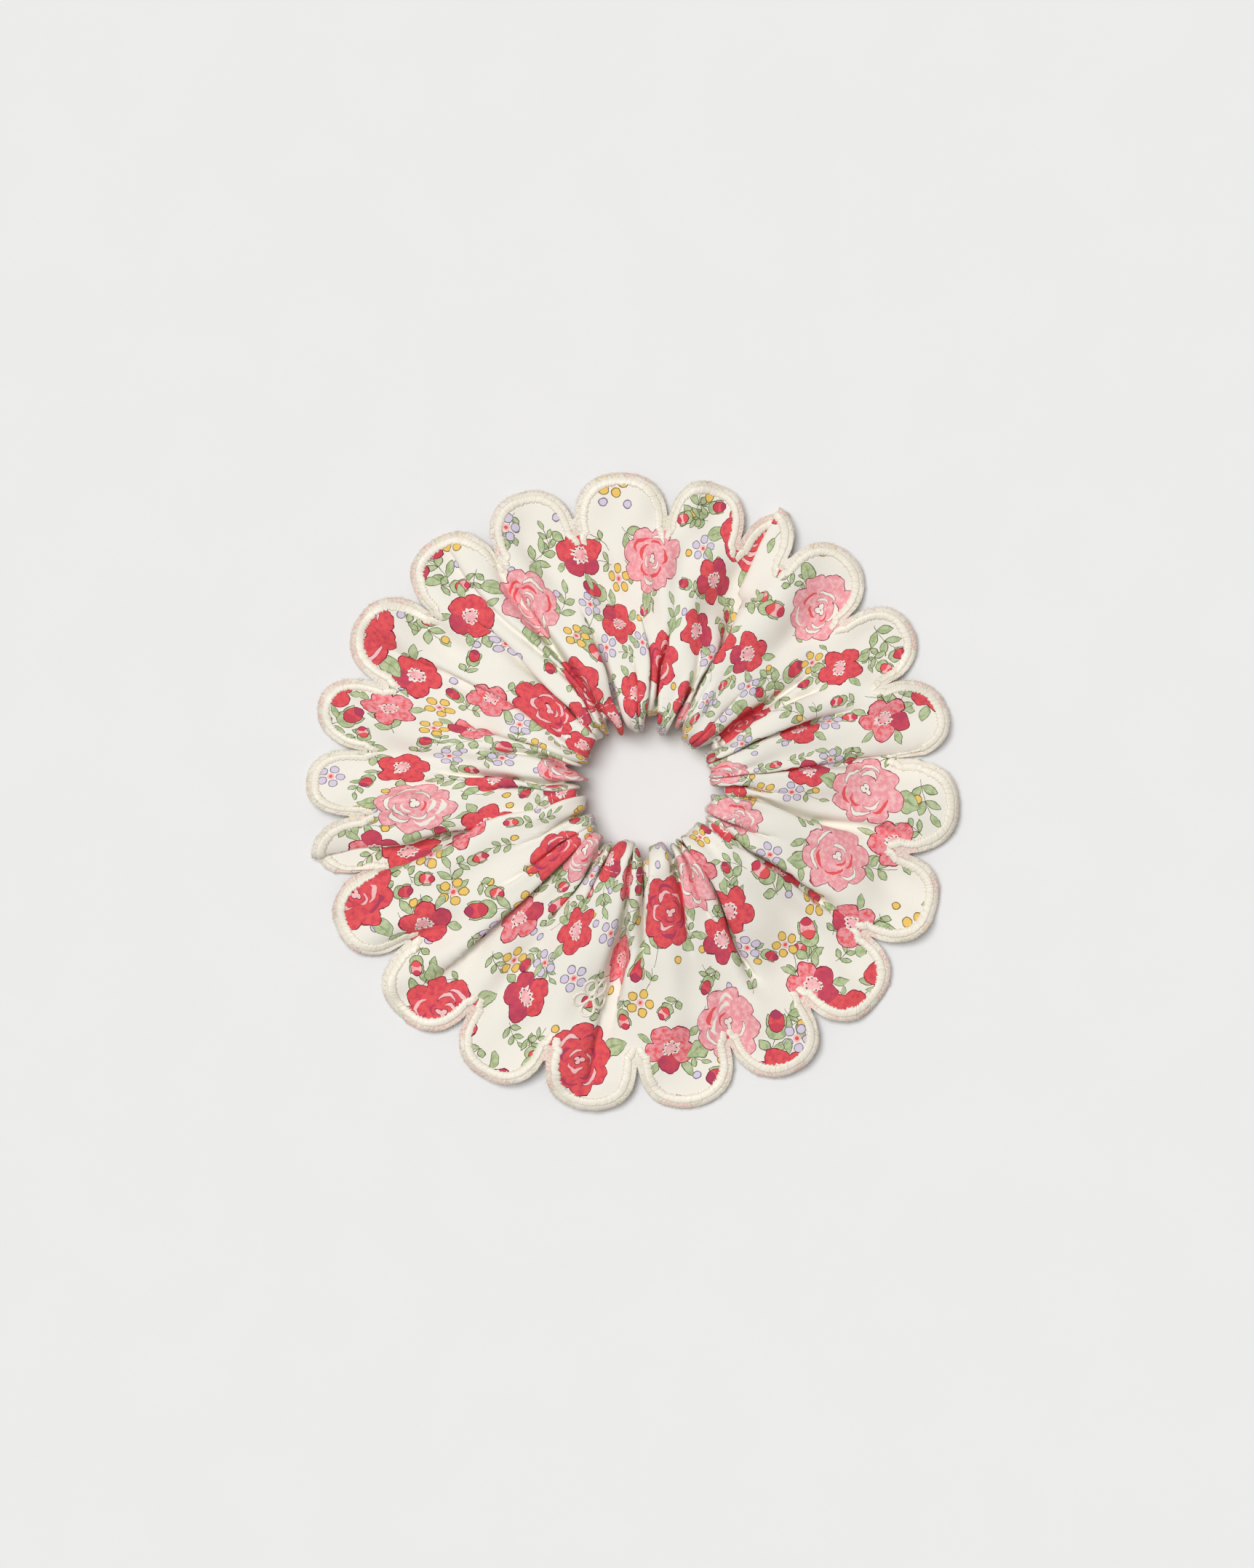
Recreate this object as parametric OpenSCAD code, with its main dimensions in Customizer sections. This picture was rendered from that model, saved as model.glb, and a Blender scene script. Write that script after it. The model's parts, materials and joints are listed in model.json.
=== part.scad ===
// Scalloped scrunchie: a strip of printed cotton, folded in two and sewn into a
// ring, with a satin-stitched scalloped edge. A flat elastic in a channel along
// the fold gathers it round the hole. Z is up, and the ruffle lies on z = 0.
// Pieces that go round the ring are cut into a left and a right half, because
// the ring stretches along X: the right half slides away from the left one.

/* [Hole and elastic] */
// Radius of the relaxed hole
hole_r = 14; // [12:0.5:15]
// How far the hole lies to the right of the ruffle's middle
hole_x = 3.6; // [-5:0.1:5]
// How far the hole lies behind the ruffle's middle
hole_y = 0.4; // [-5:0.1:5]
// Width of the flat elastic
elastic_w = 6; // [4:0.5:6.5]
// Thickness of the flat elastic
elastic_t = 1.1; // [0.8:0.1:1.3]
// Arc over which the ends of the elastic overlap, in degrees
lap_angle = 32; // [20:1:40]

/* [Ruffle] */
// Radius of the circle that the scallop tips reach
tip_r = 80.8; // [78:0.1:84]
// Height of the gathered crest round the hole
crest_z = 15.5; // [13:0.5:18]
// Radius of the crest, from the hole's axis
crest_r = 22; // [21:0.5:24]
// Number of creases that the gathers make on each side
gathers = 26; // [18:1:32]

/* [Cloth] */
// Thickness of one layer at the flat edge
cloth_t = 0.6; // [0.5:0.1:0.8]
// Depth of the gathers in the front layer at the crest
front_bulk = 3.6; // [3:0.1:4]
// Depth of the gathers in the back layer beside the channel
back_bulk = 3; // [2.5:0.1:3.5]

/* [Stitching] */
// Width of the satin-stitched border
satin_w = 2.2; // [1.8:0.1:3]
// Height that the satin stitches stand above the cloth
satin_h = 0.8; // [0.5:0.1:1.2]
// Raw cloth left outside the satin stitches
raw_edge = 1; // [0.5:0.1:1.3]
// Height of plain sewing stitches
stitch_h = 0.4; // [0.3:0.05:0.5]
// Radius of each petal of the embroidered blossom
petal_r = 2.1; // [1.5:0.1:2.4]

/* [Stretch] */
// Gap between the two halves at rest
half_gap = 0.2; // [0.1:0.05:0.4]

/* [Hidden] */

// Angle that each scallop takes, in degrees, starting at first_notch. The two
// narrow ones are folded half under their neighbours.
spread = [16.3, 16.3, 17.5, 9.8, 16, 19, 17.3, 18.5, 18.5, 14.6, 14.5,
          11.5, 17.6, 19.5, 18.3, 18.9, 19.6, 18.4, 19.2, 19.3, 19.4];
first_notch = 7;
scallops = len(spread);
notch_r = tip_r - 10.5;
web_r = 68;                        // where the scallops grow out of the ruffle

// Heights of the flat edge, from the table up
edge_low = 0.9;
edge_mid = edge_low + cloth_t;
edge_top = edge_mid + cloth_t;

// The channel for the elastic
channel_z = 7;                     // height of its middle
wall_t = 4;                        // gathered cloth inside the elastic
channel_r = hole_r + wall_t;
channel_t = 2.6;
channel_h = elastic_w + 1.2;
channel_out = channel_r + channel_t;
web_out = channel_out + 2.7;       // outer side of the sewn-down cloth
stitch_r = channel_out + 0.9;      // line of stitches beside the channel
stitch_w = 0.8;

// Radii and heights at which the profile bends
wall_top = 10;
wall_foot = 4;
rest_in = 23;                      // the back lies on the table from here
rest_out = 57;                     // to here
edge_r = 61;
flat_r = 70;                       // the two layers lie together from here
far_r = 96;                        // past every scallop

side_seam_angle = 190;             // where the ends of the cloth strip meet
blossom_at = [-9.4, -50.6];

function ease(t) = 0.5 + 0.5 * cos(180 * t);
function along(r, a, b) = max(0, min(1, (r - a) / (b - a)));
function quarter(r, outer) = sqrt(1 - pow((outer - r) / (outer - hole_r), 2));

// Heights of the front layer's upper side and the back layer's lower side, and
// of the hollow between them, at radius r from the hole's axis
function top_z(r) =
    r < crest_r
    ? wall_top + (crest_z - wall_top) * quarter(r, crest_r)
    : edge_top + (crest_z - edge_top) * ease(along(r, crest_r, flat_r));
function under_z(r) =
    r < rest_in
    ? wall_foot * (1 - quarter(r, rest_in))
    : edge_low * along(r, rest_out, edge_r);
function hollow_top(r) =
    top_z(r) - cloth_t - (front_bulk - cloth_t) * ease(along(r, crest_r, flat_r));
function hollow_floor(r) =
    edge_mid + (back_bulk - edge_mid) * ease(along(r, web_out, flat_r));

// Pieces that lie on a curved side use that side's own points, so that the two
// meet face to face
top_side = concat(
    [for (a = [0:15:75]) let (r = crest_r - (crest_r - hole_r) * cos(a)) [r, top_z(r)]],
    [for (i = [0:9]) let (r = crest_r + (flat_r - crest_r) * i / 9) [r, top_z(r)]],
    [[far_r, edge_top]]);
under_side = concat(
    [for (a = [0:15:90]) let (r = rest_in - (rest_in - hole_r) * cos(a)) [r, under_z(r)]],
    [for (r = [rest_out, edge_r, far_r]) [r, under_z(r)]]);
hollow_radii = [for (i = [0:9]) web_out + (flat_r - web_out) * i / 9];
hollow_top_side = [for (r = hollow_radii) [r, hollow_top(r)]];
hollow_floor_side = [for (r = hollow_radii) [r, hollow_floor(r)]];

function backwards(list) = [for (i = [len(list) - 1:-1:0]) list[i]];
function lifted(list, h) = [for (p = list) [p[0], p[1] + h]];

// Sum of the first n scallop angles
function turned(n) = n == 0 ? 0 : spread[n - 1] + turned(n - 1);

// Everything that goes round the hole turns about the hole's axis
module turn(points) {
    translate([hole_x, hole_y, 0])
        rotate_extrude($fn = 96) polygon(points);
}

// Skin of height h on a side: above it, or below it if h is negative
module skin(side_points, h) {
    turn(concat(side_points, backwards(lifted(side_points, h))));
}

// Ring of width w from radius r outwards, centred on height z
module band(r, w, z, h) {
    turn([[r, z - h / 2], [r + w, z - h / 2], [r + w, z + h / 2], [r, z + h / 2]]);
}

module half(side) {
    intersection() {
        children();
        translate([hole_x + (side < 0 ? -120 : half_gap / 2), -120, -10])
            cube([120 - half_gap / 2, 240, 60]);
    }
}

// Scalloped outline, drawn in by a distance from the cut edge
module outline(inset) {
    circle(r = web_r - inset, $fn = 96);
    for (i = [0:scallops - 1]) {
        lobe = notch_r * sin(spread[i] / 2) * 1.06;
        rotate(first_notch + turned(i) + spread[i] / 2) {
            translate([tip_r - lobe, 0])
                circle(r = lobe - inset, $fn = 48);
            translate([web_r - 10, inset - lobe])
                square([tip_r - lobe - web_r + 10, 2 * (lobe - inset)]);
        }
    }
}

module satin_strip(h) {
    linear_extrude(height = h)
        difference() {
            outline(raw_edge);
            outline(raw_edge + satin_w);
        }
}

// A crease pressed into the front layer just outside the crest
module crease() {
    crease_r = 2;
    depth = 0.9;
    at_r = crest_r + 10;
    fall = atan2(top_z(at_r - 2) - top_z(at_r + 2), 4);
    translate([at_r, 0, top_z(at_r) + crease_r - depth])
        rotate([0, 90 + fall, 0])
            cylinder(r = crease_r, h = 36, center = true, $fn = 16);
}

module ruffle(side) {
    color("ivory")
        half(side)
            difference() {
                intersection() {
                    turn(concat(top_side, backwards(under_side)));
                    linear_extrude(height = 30) outline(0);
                }
                turn(concat(hollow_top_side, backwards(hollow_floor_side)));
                band(channel_r, channel_t, channel_z, channel_h);
                translate([hole_x, hole_y, 0])
                    for (i = [0:gathers - 1])
                        rotate((i + 0.5) * 360 / gathers) crease();
            }
}

// Needle thread of the satin border, on the front
module satin_top(side) {
    color("cornsilk")
        half(side)
            intersection() {
                skin(top_side, satin_h);
                satin_strip(30);
            }
}

// Bobbin thread of the satin border, on the back
module satin_under(side) {
    thread_t = edge_low - 0.1;
    color("cornsilk")
        half(side)
            translate([0, 0, edge_low - thread_t]) satin_strip(thread_t);
}

// The left half carries the lap, where the ends of the elastic lie in two
// layers; the outer one has drawn in a little in width
module elastic(side) {
    lap_w = elastic_w - 0.2;
    color("white")
        half(side) {
            band(channel_r, elastic_t, channel_z, elastic_w);
            if (side < 0)
                translate([hole_x, hole_y, channel_z - lap_w / 2])
                    rotate(180 - lap_angle / 2)
                        rotate_extrude(angle = lap_angle, $fn = 96)
                            translate([channel_r + elastic_t / 2, 0])
                                square([elastic_t * 1.5, lap_w]);
        }
}

// Bar-tack through the lap: bars of thread joined by one run along the elastic
module lap_stitches() {
    bars = 5;
    bar_w = 0.5;
    bar_t = 0.3;
    bar_len = 5;                   // long enough to pass through the band that trims it
    reach = lap_angle * 0.8;
    bar_step = 2 * (channel_r + 3) * sin(reach / (bars - 1) / 2) + 1;
    color("snow")
        intersection() {
            band(channel_r + 2 * elastic_t, bar_t, channel_z, elastic_w - 1);
            translate([hole_x, hole_y, channel_z])
                for (i = [0:bars - 1])
                    rotate(180 + reach * (i / (bars - 1) - 0.5)) {
                        translate([channel_r, -bar_w / 2, -elastic_w / 2])
                            cube([bar_len, bar_w, elastic_w]);
                        if (i < bars - 1)
                            translate([channel_r, 0, -bar_w / 2])
                                cube([bar_len, bar_step, bar_w]);
                    }
        }
}

// Lockstitch that closes the channel: its thread on the front
module needle_thread(side) {
    color("linen")
        half(side)
            intersection() {
                skin(top_side, stitch_h);
                band(stitch_r, stitch_w, 15, 30);
            }
}

// Lockstitch that closes the channel: its thread on the back
module bobbin_thread(side) {
    color("linen")
        half(side)
            intersection() {
                skin(under_side, -stitch_h);
                band(stitch_r, stitch_w, 10, 20);
            }
}

// Seam that makes the strip a ring, on the inner sides of both layers
module side_seam() {
    seam_w = 0.7;
    color("linen")
        intersection() {
            union() {
                skin(hollow_top_side, -stitch_h);
                skin(hollow_floor_side, stitch_h);
            }
            turn(concat(hollow_top_side, backwards(hollow_floor_side)));
            translate([hole_x, hole_y, 0])
                rotate(side_seam_angle)
                    translate([web_out + 1, -seam_w / 2, 0])
                        cube([flat_r, seam_w, 30]);
        }
}

// Small outlined five-petal flower embroidered on the front
module embroidered_blossom() {
    line_w = 0.7;
    color("cornsilk")
        intersection() {
            skin(top_side, stitch_h);
            translate(blossom_at)
                linear_extrude(height = 30)
                    for (i = [0:4])
                        rotate(90 + 72 * i)
                            translate([petal_r * 1.3, 0])
                                difference() {
                                    circle(r = petal_r, $fn = 32);
                                    circle(r = petal_r - line_w, $fn = 32);
                                }
        }
}

ruffle(-1);  // ruffle_left
ruffle(1);  // ruffle_right
satin_top(-1);  // satin_top_left
satin_top(1);  // satin_top_right
satin_under(-1);  // satin_under_left
satin_under(1);  // satin_under_right
elastic(-1);  // elastic_left
elastic(1);  // elastic_right
lap_stitches();
needle_thread(-1);  // needle_thread_left
needle_thread(1);  // needle_thread_right
bobbin_thread(-1);  // bobbin_thread_left
bobbin_thread(1);  // bobbin_thread_right
side_seam();
embroidered_blossom();
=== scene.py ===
"""Looks of the scalloped scrunchie: gathered printed cotton, satin-stitched edge and sewing."""
import json
import math
from functools import partialmethod

import bpy
import numpy as np
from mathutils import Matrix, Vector


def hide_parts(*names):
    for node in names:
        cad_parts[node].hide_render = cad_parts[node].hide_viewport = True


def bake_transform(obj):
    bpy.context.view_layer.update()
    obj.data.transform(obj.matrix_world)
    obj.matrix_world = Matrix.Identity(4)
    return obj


MM = 0.001

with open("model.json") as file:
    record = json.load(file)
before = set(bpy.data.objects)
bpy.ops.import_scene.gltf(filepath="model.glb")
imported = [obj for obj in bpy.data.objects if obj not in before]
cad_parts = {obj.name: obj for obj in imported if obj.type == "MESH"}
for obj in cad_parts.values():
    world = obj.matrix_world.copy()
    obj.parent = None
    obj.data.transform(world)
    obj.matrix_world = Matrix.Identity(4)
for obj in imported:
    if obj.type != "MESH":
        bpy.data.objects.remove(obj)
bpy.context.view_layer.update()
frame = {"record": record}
scene = bpy.context.scene
hole_mount = next(m for m in frame["record"]["mounts"] if m["name"] == "ponytail_hole")
HOLE_MM = np.array(hole_mount["pos_m"][:2]) / MM  # the hole's axis

# ---- the cloth strip, in millimetres

PITCH = 24.3  # flat width of one scallop
# How far round the ring each scallop lies, in degrees
SPREAD = [16.3, 16.3, 17.5, 9.8, 16, 19, 17.3, 18.5, 18.5, 14.6, 14.5,
          11.5, 17.6, 19.5, 18.3, 18.9, 19.6, 18.4, 19.2, 19.3, 19.4]
FIRST_NOTCH = 7.0  # degrees
FOLDED = {3: 10.5, 11: 8.5}  # scallops folded under their neighbours, and the cloth that this hides
STRIP = PITCH * len(SPREAD)  # length of the strip round the ring
LAYER = 75.0  # width of one layer, from the fold at the hole to the scallop tips
SLIT = 14.5  # depth of the slits between the scallops
SCALLOP_ROUND = 2.3  # 2 would make the scallop ends half ellipses
CLOTH_T = 0.28
SEAM_ANGLE = 190.0  # where the ends of the strip are sewn together

# The ridges of the gathers run over these radii and heights, from the hole's waist outwards
FRONT_RIDGE = [(14, 7), (14.1, 10.5), (15.2, 13.3), (18, 14.9), (22, 15.0), (28, 13.8), (36, 11.6),
               (46, 8.9), (56, 6.4), (66, 4.7), (73, 4.0), (79.4, 3.3)]
BACK_RIDGE = [(14, 7), (14.1, 4.5), (15.0, 2.2), (17.5, 0.7), (22, 0.35), (30, 0.3), (40, 0.3),
              (52, 0.4), (62, 0.8), (70, 1.5), (80.4, 2.4)]
RIM_MM = np.array([0.4, -1.2])  # middle of the scalloped edge
RIM_WIDER = 0.01  # how much wider than deep the edge lies, each way
LOW_FRONT = 1.2  # the front stays above this, and the back above LOW_BACK
LOW_BACK = 0.35
SEWN_GAP = 0.42  # between the middles of the two layers, where they are sewn together

COLUMNS = 2048  # of the reference surface
COLUMN_S = (np.arange(COLUMNS) + 0.5) * STRIP / COLUMNS
ROWS = 101  # of each of its layers
RIM_ROW = -8  # the row that is fitted to the scallops' places round the ring
PLEATS = 38  # tucks that the gathers fall into
CELL = 0.5  # of the maps of how high each layer reaches
CELLS = 360
NO_CLOTH = 99.0  # height in the cells that the cloth doesn't cover
CLEAR = 0.3  # kept between the two layers, where they are not sewn together

STITCH_V = 13.5  # how far from the fold the channel's line of stitches runs
SATIN_W = 2.0  # width and height of the border's satin stitches
SATIN_H = 0.46
RAW_EDGE = 1.25  # cloth left outside the satin stitches
STITCH = 0.34  # from one satin stitch to the next
CLOTH_COLUMNS = 640  # of the cloth's mesh
FIBRES = 300  # loose fibres in the edge of each scallop
BLOSSOM_AT = (-9.4, -50.6)  # the embroidered flower, in the plan view
PETAL_R = 2.1  # of its petals


def smooth(x, a, b):
    """0 up to a and 1 from b, with a soft step between them."""
    t = np.clip((x - a) / (b - a), 0, 1)
    return t * t * (3 - 2 * t)


def above(z, floor, softness=0.5):
    """Keeps heights above a floor, without a sharp bend where they meet it."""
    return floor + softness * np.logaddexp(0, (z - floor) / softness)


def wrapped(x, period):
    """The periodic distance, brought between minus and plus half a period."""
    return (x + period / 2) % period - period / 2


def low_pass(values, harmonics, axis=0):
    """The slow part of a periodic signal."""
    spectrum = np.fft.rfft(values, axis=axis)
    keep = [slice(None)] * values.ndim
    keep[axis] = slice(harmonics + 1, None)
    spectrum[tuple(keep)] = 0
    return np.fft.irfft(spectrum, n=values.shape[axis], axis=axis)


def noise_grid(rng, across, along, columns, rows):
    """Smooth noise, periodic over the columns, of about unit size."""
    coarse = rng.standard_normal((across, along + 3))
    spectrum = np.fft.rfft(coarse, axis=0)
    wide = np.zeros((columns // 2 + 1, along + 3), complex)
    n = min(len(spectrum), len(wide))
    wide[:n] = spectrum[:n]
    fine = np.fft.irfft(wide, n=columns, axis=0) * columns / across
    at = np.linspace(0, along, rows)
    i = np.minimum(at.astype(int), along - 1)
    t = at - i
    a, b, c, d = (fine[:, i + k] for k in range(4))
    return (a * (1 - t) ** 3 + b * (3 * t ** 3 - 6 * t ** 2 + 4)
            + c * (-3 * t ** 3 + 3 * t ** 2 + 3 * t + 1) + d * t ** 3) / 6


def spline(points, count):
    """Points at even steps along a smooth curve through the given ones."""
    p = np.array(points, float)
    ext = np.vstack([2 * p[0] - p[1], p, 2 * p[-1] - p[-2]])
    fine = []
    for i in range(len(p) - 1):
        t = np.linspace(0, 1, 40, endpoint=False)[:, None]
        a, b, c, d = ext[i:i + 4]
        fine.append(0.5 * (2 * b + (c - a) * t + (2 * a - 5 * b + 4 * c - d) * t ** 2
                           + (3 * b - a - 3 * c + d) * t ** 3))
    return even_steps(np.vstack(fine + [p[-1:]]), count)


def run(points):
    """How far along the line each of its points lies."""
    return np.concatenate([[0], np.cumsum(np.linalg.norm(np.diff(points, axis=0), axis=1))])


def even_steps(points, count):
    """The same line with its points at even steps."""
    length = run(points)
    at = np.linspace(0, length[-1], count)
    return np.column_stack([np.interp(at, length, points[:, k]) for k in range(points.shape[1])])


def unit(vectors):
    return vectors / np.maximum(np.linalg.norm(vectors, axis=-1, keepdims=True), 1e-9)


def bilinear(grid, i0, i1, j0, a, b):
    """The grid's value a of the way from i0 to i1, and b of the way from j0 to the next."""
    return ((grid[i0, j0] * (1 - a) + grid[i1, j0] * a) * (1 - b)
            + (grid[i0, j0 + 1] * (1 - a) + grid[i1, j0 + 1] * a) * b)


def make_pleats(rng):
    """The gathers' tucks: place along the strip, lean in degrees, and how far out they reach."""
    place = (np.arange(PLEATS) + 0.5) * STRIP / PLEATS
    place += rng.uniform(-0.42, 0.42, PLEATS) * STRIP / PLEATS
    rank = rng.permutation(PLEATS) / PLEATS
    reach = {"front": 28 + 48 * rank ** 2.0, "back": 30 + 44 * rng.permutation(rank) ** 1.5}
    lean = rng.uniform(-48, 48, PLEATS)
    weight = rng.uniform(0.4, 1.9, PLEATS)
    return {"place": place, "reach": reach, "lean": lean, "weight": weight}


def fold_angles(side, pleats, rng, ridge_r):
    """Slope of the cloth along the ring, in radians, for each column and row of one layer.

    The cloth's waves change with r, the ridge's distance from the middle of the ring.
    """
    row = np.linspace(0, LAYER, ROWS)
    place = pleats["place"]
    sway = noise_grid(rng, len(place), 4, len(place), ROWS) * 3.2 * smooth(row, 8, 34)
    alpha = np.zeros((COLUMNS, ROWS))
    reach = pleats["reach"][side]
    near = np.exp(-0.5 * (wrapped(place[:, None] - place[None], STRIP) / 26) ** 2)
    waves = noise_grid(rng, 90, 7, COLUMNS, ROWS)
    puckers = noise_grid(np.random.default_rng(12), 190, 9, COLUMNS, ROWS)
    folds = [((k + 0.5) * PITCH + 3, hides) for k, hides in FOLDED.items()]
    for j, r in enumerate(ridge_r):
        sharp = 0.5 + 0.9 * smooth(row[j], 20, 60)  # width of the bends
        weight = pleats["weight"] * smooth(reach - r, -9, 9)
        share = weight / (near @ weight + 1e-9)
        # The tucks hide the cloth that the ring, the folded scallops and the small waves leave over
        squeeze = 1 + 0.10 * smooth(r, 18, 36) * (1 - smooth(r, 58, 74))
        ripple = 0.16 + 0.34 * smooth(r, 30, 60) * (1 - 0.55 * smooth(r, 66, 78))
        spare = STRIP - 2 * math.pi * r * squeeze - sum(FOLDED.values()) - STRIP * ripple ** 2 / 4
        hidden = share / (share.sum() + 1e-9) * max(spare, 0.0)
        lean = pleats["lean"] * (0.35 + 0.65 * smooth(r, 20, 40))
        for k in np.flatnonzero(hidden > 0.05):
            add_pleat(alpha[:, j], place[k] + sway[k, j], hidden[k], lean[k], sharp)
        for fold_at, hides in folds:
            add_pleat(alpha[:, j], fold_at, hides, 66 * smooth(r, 24, 60), sharp)
        alpha[:, j] += ripple * waves[:, j] + 0.5 * (1 - smooth(r, 18, 36)) * puckers[:, j]
    return alpha


def add_pleat(alpha, place, hidden, lean, sharp):
    """The cloth goes down one wall and up the other; lean tips both walls over."""
    x = wrapped(COLUMN_S - place, STRIP)
    w = sharp * np.clip(hidden / 5, 0.6, 1.4)
    step = [0.5 * (1 + np.tanh((x - e) / w)) for e in (-hidden / 2, 0, hidden / 2)]
    fade = min(1.0, hidden / 1.2)
    alpha -= fade * math.radians(90 + lean) * (step[0] - step[1])
    alpha += fade * math.radians(90 - lean) * (step[1] - step[2])


NOTCH_ANGLES = FIRST_NOTCH + np.concatenate([[0], np.cumsum(SPREAD)]) * 360 / sum(SPREAD)
NOTCH_PLACES = np.arange(len(SPREAD) + 1) * PITCH
SEAM_AT = np.interp(SEAM_ANGLE, NOTCH_ANGLES, NOTCH_PLACES)


def stretch(rim_r):
    """How much wider than its flat cloth each scallop lies, evened out from one to the next."""
    visible = np.array([PITCH - FOLDED.get(i, 0) for i in range(len(SPREAD))])
    ratio = np.radians(np.array(SPREAD)) * rim_r / visible
    return low_pass(ratio[np.minimum((COLUMN_S / PITCH).astype(int), len(SPREAD) - 1)], 40)


def layer_surface(side, pleats, rng, ridge):
    """Where one layer's columns lie round the ring, and how deep they go below the ridges."""
    curve = spline(ridge, ROWS)
    ridge_r, ridge_z = curve.T
    tangent = unit(np.gradient(curve, axis=0))
    sign = 1 if side == "front" else -1
    inward = np.column_stack([tangent[:, 1], -tangent[:, 0]]) * sign
    alpha = fold_angles(side, pleats, rng, ridge_r)
    ds = STRIP / COLUMNS
    along = np.cumsum(np.cos(alpha) * stretch(ridge_r[RIM_ROW])[:, None], axis=0) * ds
    along -= along[:1]
    angle = along / (along[-1:] + ds) * 2 * math.pi
    depth = np.cumsum(np.sin(alpha), axis=0) * ds
    depth -= np.linspace(0, 1, COLUMNS)[:, None] * depth[-1:]
    depth -= low_pass(depth, 6)
    return {"angle": angle, "depth": depth, "r": ridge_r, "z": ridge_z, "inward": inward}


def widened(r):
    """How much wider and deeper the cloth lies than in a round ring, near the hole."""
    near = 1 - smooth(r, 16, 30)
    return 1 + 0.12 * near, 1 + 0.04 * near


def over_neighbours(cells, combine):
    """Each cell combined with the eight around it."""
    return combine([np.roll(cells, (i, j), (0, 1)) for i in (-1, 0, 1) for j in (-1, 0, 1)], axis=0)


def reach_map(layer, sign):
    """How high the layer reaches over each small square cell of the plan, or how low if sign is -1."""
    between = 0.5 * (layer[:, 1:] + layer[:, :-1])
    x, y, z = np.concatenate([layer.reshape(-1, 3), between.reshape(-1, 3)]).T
    i, j = (np.floor(c / CELL).astype(int) + CELLS // 2 for c in (x, y))
    cells = np.full((CELLS, CELLS), -NO_CLOTH)
    np.maximum.at(cells, (i, j), sign * z)
    cells[cells == -NO_CLOTH] = NO_CLOTH
    return over_neighbours(over_neighbours(cells, np.min), np.mean)


def on_map(cells, points):
    """The map's values at the points."""
    i, j = (points[..., k] / CELL + CELLS // 2 - 0.5 for k in (0, 1))
    i0, j0 = (np.floor(c).astype(int) for c in (i, j))
    return bilinear(cells, i0, i0 + 1, j0, i - i0, j - j0)


def keep_apart(out, joined):
    """Lowers the back's tucks under the front, and lifts the front's tucks over the back."""
    # Where they are sewn together the layers have the same folds, and may lie closer
    clear = CLEAR - 1.5 * smooth(joined, 0.93, 1.0)
    top = on_map(reach_map(out["front"], 1), out["back"]) - clear
    out["back"][..., 2] = -above(-out["back"][..., 2], -top, 0.12)
    bottom = clear - on_map(reach_map(out["back"], -1), out["front"])
    out["front"][..., 2] = above(out["front"][..., 2], bottom, 0.12)


def build_surface():
    """Points of the strip, for each column and for rows from the back's rim over the hole to the front's."""
    rng = np.random.default_rng(11)
    pleats = make_pleats(rng)
    row = np.linspace(0, LAYER, ROWS)
    layers = {side: layer_surface(side, pleats, rng, ridge)
              for side, ridge in (("front", FRONT_RIDGE), ("back", BACK_RIDGE))}
    rim = layers["front"]["angle"][:, RIM_ROW]
    offset = np.radians(np.interp(COLUMN_S, NOTCH_PLACES, NOTCH_ANGLES)) - rim
    offset = np.mean(offset) + low_pass(offset - np.mean(offset), 9)
    crest_noise = noise_grid(rng, 34, 4, COLUMNS, ROWS)
    rim_noise = noise_grid(rng, 23, 3, COLUMNS, ROWS)
    out = {}
    for side, layer in layers.items():
        sign = 1 if side == "front" else -1
        theta = layer["angle"] - low_pass(layer["angle"] - rim[:, None], 9) + offset[:, None]
        # The cloth goes a little less deep in the waist, where the elastic lies behind it
        depth = layer["depth"] - np.percentile(layer["depth"], 88, axis=0)[None]
        depth = depth * (0.74 + 0.26 * smooth(row, 5, 12))
        r = layer["r"][None] - layer["inward"][:, 0] * depth
        z = layer["z"][None] - layer["inward"][:, 1] * depth
        # The crests rise and fall by about a millimetre, and so does the rim
        lift = crest_noise * 0.8 * smooth(row, 4, 14) * (1 - smooth(row, 50, 70)) * sign
        lift = lift + rim_noise * 0.9 * smooth(row, 50, 75)
        z = z + (np.minimum(lift, 0.6) if side == "front" else np.maximum(lift, 0))
        r = r + noise_grid(rng, 26, 2, COLUMNS, ROWS) * 0.5 * (1 - smooth(row, 8, 22))
        middle = (1 - smooth(layer["r"], 24, 70))[None]
        wide, deep = widened(r)
        x = HOLE_MM[0] * middle + RIM_MM[0] * (1 - middle)
        y = HOLE_MM[1] * middle + RIM_MM[1] * (1 - middle)
        x = x + r * (wide + RIM_WIDER * (1 - middle)) * np.cos(theta)
        y = y + r * (deep - RIM_WIDER * (1 - middle)) * np.sin(theta)
        out[side] = np.stack([x, y, z], axis=-1)
    out["front"][..., 2] = above(out["front"][..., 2], LOW_FRONT)
    # Towards the scallops the two layers are sewn to each other
    joined = smooth(row, LAYER - 34, LAYER - SLIT - 3)[None, :, None]
    under = out["front"] - np.array([0, 0, SEWN_GAP])
    out["back"] = out["back"] * (1 - joined) + under * joined
    out["back"][..., 2] = above(out["back"][..., 2], LOW_BACK, 0.12)
    keep_apart(out, joined[..., 0])
    waist = 0.5 * (out["front"][:, :1] + out["back"][:, :1])
    for side in out:
        near = 1 - smooth(row, 0, 6)[None, :, None]
        out[side] = out[side] + (waist - out[side][:, :1]) * near
    return np.concatenate([out["back"][:, :0:-1], out["front"]], axis=1)


GRID = build_surface()


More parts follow.
